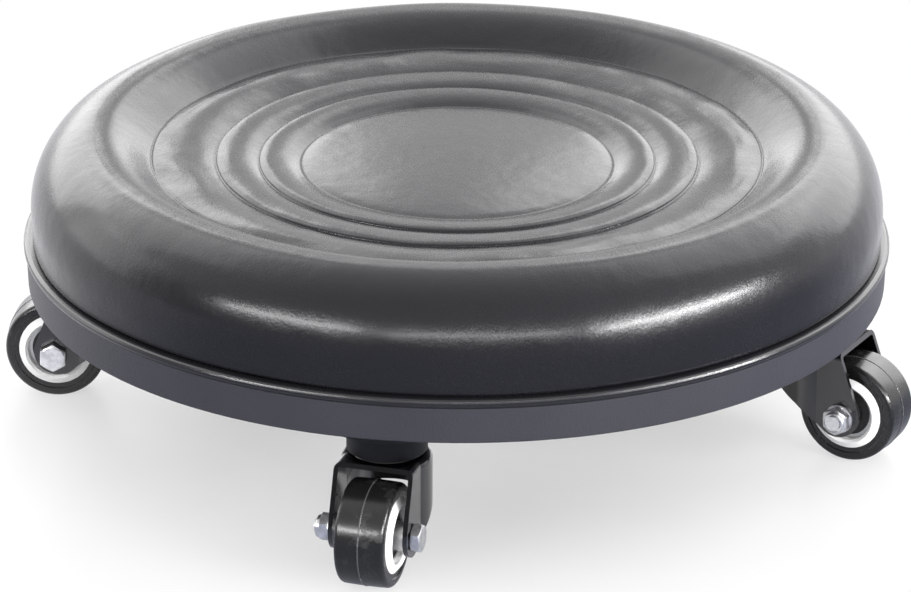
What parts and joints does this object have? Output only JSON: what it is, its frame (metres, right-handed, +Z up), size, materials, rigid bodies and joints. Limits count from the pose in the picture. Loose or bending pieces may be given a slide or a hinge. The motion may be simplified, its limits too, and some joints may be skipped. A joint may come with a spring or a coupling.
{
  "type": "creeper seat",
  "caption": "Low round rolling work seat: dished leather cushion with ring creases on a shallow moulded pan, carried by swivel casters.",
  "frame": {"origin": "on the floor under the middle of the seat", "axes": "+Z up along the seat's axis, -Y towards the front, +X to the right as seen from the front"},
  "size_m": [0.3581, 0.359, 0.122],
  "materials": {
    "leather": "smooth black PU leather, semi-gloss",
    "foam": "cream polyurethane foam",
    "plywood": "raw plywood",
    "pan_plastic": "fine-grained black plastic",
    "enamel": "satin black coated steel",
    "zinc": "bright zinc plate",
    "steel": "plain steel",
    "dark_plastic": "black moulded plastic",
    "hub_plastic": "white nylon",
    "tyre": "smooth black polyurethane"
  },
  "bodies": {
    "seat": {"cushion_cover": "leather", "foam_pad": "foam", "seat_board": "plywood", "cover_staples": "steel", "base_pan": "pan_plastic", "board_screws": "zinc", "king_bolts": "zinc", "stem_washers": "zinc", "stem_nuts": "zinc", "swivel_balls": "steel", "front_top_dish": "enamel", "right_top_dish": "enamel", "back_top_dish": "enamel", "left_top_dish": "enamel"},
    "front_caster": {"front_fork": "enamel", "front_axle_bolt": "zinc", "front_axle_nut": "zinc", "front_axle_washer": "zinc", "front_axle_sleeve": "steel", "front_axle_spacers": "steel", "front_inner_races": "steel"},
    "front_wheel": {"front_bearings": "steel", "front_bearing_seals": "dark_plastic", "front_wheel_hub": "hub_plastic", "front_tyre": "tyre"},
    "right_caster": {"right_fork": "enamel", "right_axle_bolt": "zinc", "right_axle_nut": "zinc", "right_axle_washer": "zinc", "right_axle_sleeve": "steel", "right_axle_spacers": "steel", "right_inner_races": "steel"},
    "right_wheel": {"right_bearings": "steel", "right_bearing_seals": "dark_plastic", "right_wheel_hub": "hub_plastic", "right_tyre": "tyre"},
    "back_caster": {"back_fork": "enamel", "back_axle_bolt": "zinc", "back_axle_nut": "zinc", "back_axle_washer": "zinc", "back_axle_sleeve": "steel", "back_axle_spacers": "steel", "back_inner_races": "steel"},
    "back_wheel": {"back_bearings": "steel", "back_bearing_seals": "dark_plastic", "back_wheel_hub": "hub_plastic", "back_tyre": "tyre"},
    "left_caster": {"left_fork": "enamel", "left_axle_bolt": "zinc", "left_axle_nut": "zinc", "left_axle_washer": "zinc", "left_axle_sleeve": "steel", "left_axle_spacers": "steel", "left_inner_races": "steel"},
    "left_wheel": {"left_bearings": "steel", "left_bearing_seals": "dark_plastic", "left_wheel_hub": "hub_plastic", "left_tyre": "tyre"}
  },
  "joints": [
    {"name": "front_swivel", "type": "hinge", "parent": "seat", "child": "front_caster", "pos_m": [-0.02571, -0.14148, 0.047], "axis": [0, 0, 1], "continuous": true},
    {"name": "front_roll", "type": "hinge", "parent": "front_caster", "child": "front_wheel", "pos_m": [-0.03071, -0.15825, 0.0202], "axis": [0.9583, -0.2857, 0], "continuous": true},
    {"name": "right_swivel", "type": "hinge", "parent": "seat", "child": "right_caster", "pos_m": [0.14148, -0.02571, 0.047], "axis": [0, 0, 1], "continuous": true},
    {"name": "right_roll", "type": "hinge", "parent": "right_caster", "child": "right_wheel", "pos_m": [0.15696, -0.03387, 0.0202], "axis": [0.4664, 0.8846, 0], "continuous": true},
    {"name": "back_swivel", "type": "hinge", "parent": "seat", "child": "back_caster", "pos_m": [0.02571, 0.14148, 0.047], "axis": [0, 0, 1], "continuous": true},
    {"name": "back_roll", "type": "hinge", "parent": "back_caster", "child": "back_wheel", "pos_m": [0.02611, 0.15898, 0.0202], "axis": [-0.9997, 0.0227, 0], "continuous": true},
    {"name": "left_swivel", "type": "hinge", "parent": "seat", "child": "left_caster", "pos_m": [-0.14148, 0.02571, 0.047], "axis": [0, 0, 1], "continuous": true},
    {"name": "left_roll", "type": "hinge", "parent": "left_caster", "child": "left_wheel", "pos_m": [-0.15894, 0.02699, 0.0202], "axis": [-0.0732, -0.9973, 0], "continuous": true}
  ]
}
